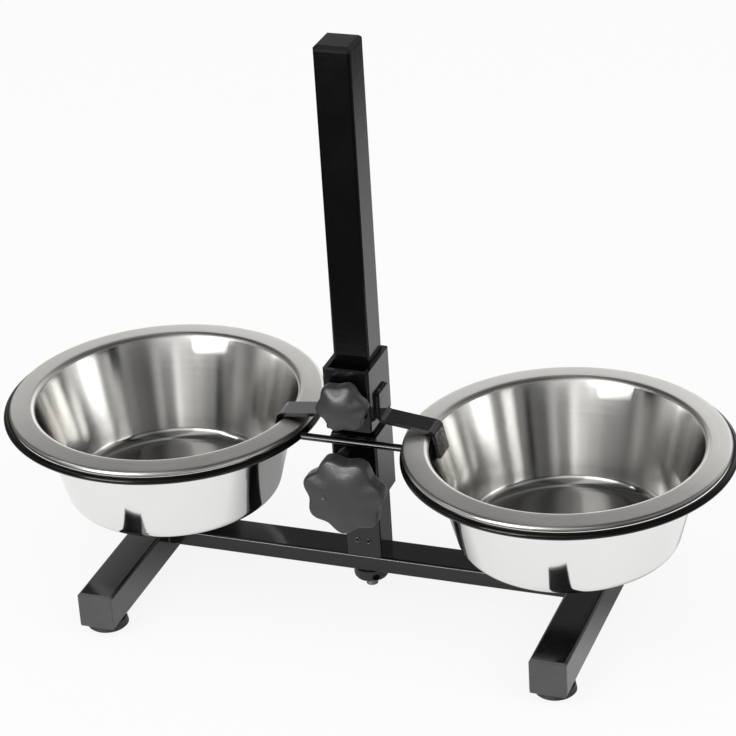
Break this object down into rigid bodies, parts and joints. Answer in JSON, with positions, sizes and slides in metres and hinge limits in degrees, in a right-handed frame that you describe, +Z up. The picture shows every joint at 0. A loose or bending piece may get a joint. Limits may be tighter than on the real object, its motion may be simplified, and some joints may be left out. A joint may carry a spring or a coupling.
{
  "type": "dog feeder stand",
  "caption": "Height-adjustable feeder stand: steel bowls in wire rings slide on a square post with star-knob clamps and a hooked bowl lock, on an H-shaped tube base with feet.",
  "frame": {"origin": "on the floor under the post's axis, at the middle of the four feet", "axes": "+Z up along the post, +X along the crossbar to the right, -Y towards the knobs"},
  "size_m": [0.508, 0.22, 0.399],
  "materials": {
    "black_paint": "gloss",
    "black_wire": "gloss",
    "cap_plastic": "satin",
    "foot_rubber": "matte",
    "knob_plastic": "satin",
    "zinc_steel": "satin",
    "black_hardware": "satin",
    "bowl_steel": "polished and brushed"
  },
  "bodies": {
    "stand": {"left_leg": "black_paint", "right_leg": "black_paint", "crossbar": "black_paint", "left_front_cap": "cap_plastic", "left_rear_cap": "cap_plastic", "right_front_cap": "cap_plastic", "right_rear_cap": "cap_plastic", "left_front_foot": "foot_rubber", "left_rear_foot": "foot_rubber", "right_front_foot": "foot_rubber", "right_rear_foot": "foot_rubber", "foot_screws": "zinc_steel", "post": "black_paint", "post_top_cap": "cap_plastic", "post_base_plug": "zinc_steel", "post_bolt": "zinc_steel", "post_washer": "black_hardware", "post_nut": "black_hardware", "post_rivets": "black_hardware"},
    "carrier": {"carrier_sleeve": "black_paint", "left_ring": "black_wire", "right_ring": "black_wire", "front_rod": "black_wire", "rear_rod": "black_wire", "rod_screw": "zinc_steel", "carrier_nut": "zinc_steel"},
    "carrier_knob": {"carrier_knob": "knob_plastic", "carrier_stud": "zinc_steel"},
    "lock": {"lock_sleeve": "black_paint", "left_hook": "black_paint", "right_hook": "black_paint", "lock_nut": "zinc_steel"},
    "lock_knob": {"lock_knob": "knob_plastic", "lock_stud": "zinc_steel"},
    "left_bowl": {"left_bowl": "bowl_steel"},
    "right_bowl": {"right_bowl": "bowl_steel"}
  },
  "joints": [
    {"name": "carrier_slide", "type": "slide", "parent": "stand", "child": "carrier", "axis": [0, 0, 1], "range_m": [-0.022, 0.13]},
    {"name": "lock_slide", "type": "slide", "parent": "carrier", "child": "lock", "axis": [0, 0, 1], "range_m": [0, 0.075]},
    {"name": "carrier_knob_turn", "type": "hinge", "parent": "carrier", "child": "carrier_knob", "pos_m": [0, -0.04, 0.094], "axis": [0, -1, 0], "range_deg": [0, 720]},
    {"name": "lock_knob_turn", "type": "hinge", "parent": "lock", "child": "lock_knob", "pos_m": [0, -0.03, 0.156], "axis": [0, -1, 0], "range_deg": [0, 720]},
    {"name": "left_bowl_lift", "type": "slide", "parent": "carrier", "child": "left_bowl", "axis": [0, 0, 1], "range_m": [0, 0.07]},
    {"name": "right_bowl_lift", "type": "slide", "parent": "carrier", "child": "right_bowl", "axis": [0, 0, 1], "range_m": [0, 0.07]}
  ],
  "couplings": [
    {"joint": "left_bowl_lift", "follows": "lock_slide", "ratio": 0.9},
    {"joint": "right_bowl_lift", "follows": "lock_slide", "ratio": 0.9}
  ]
}
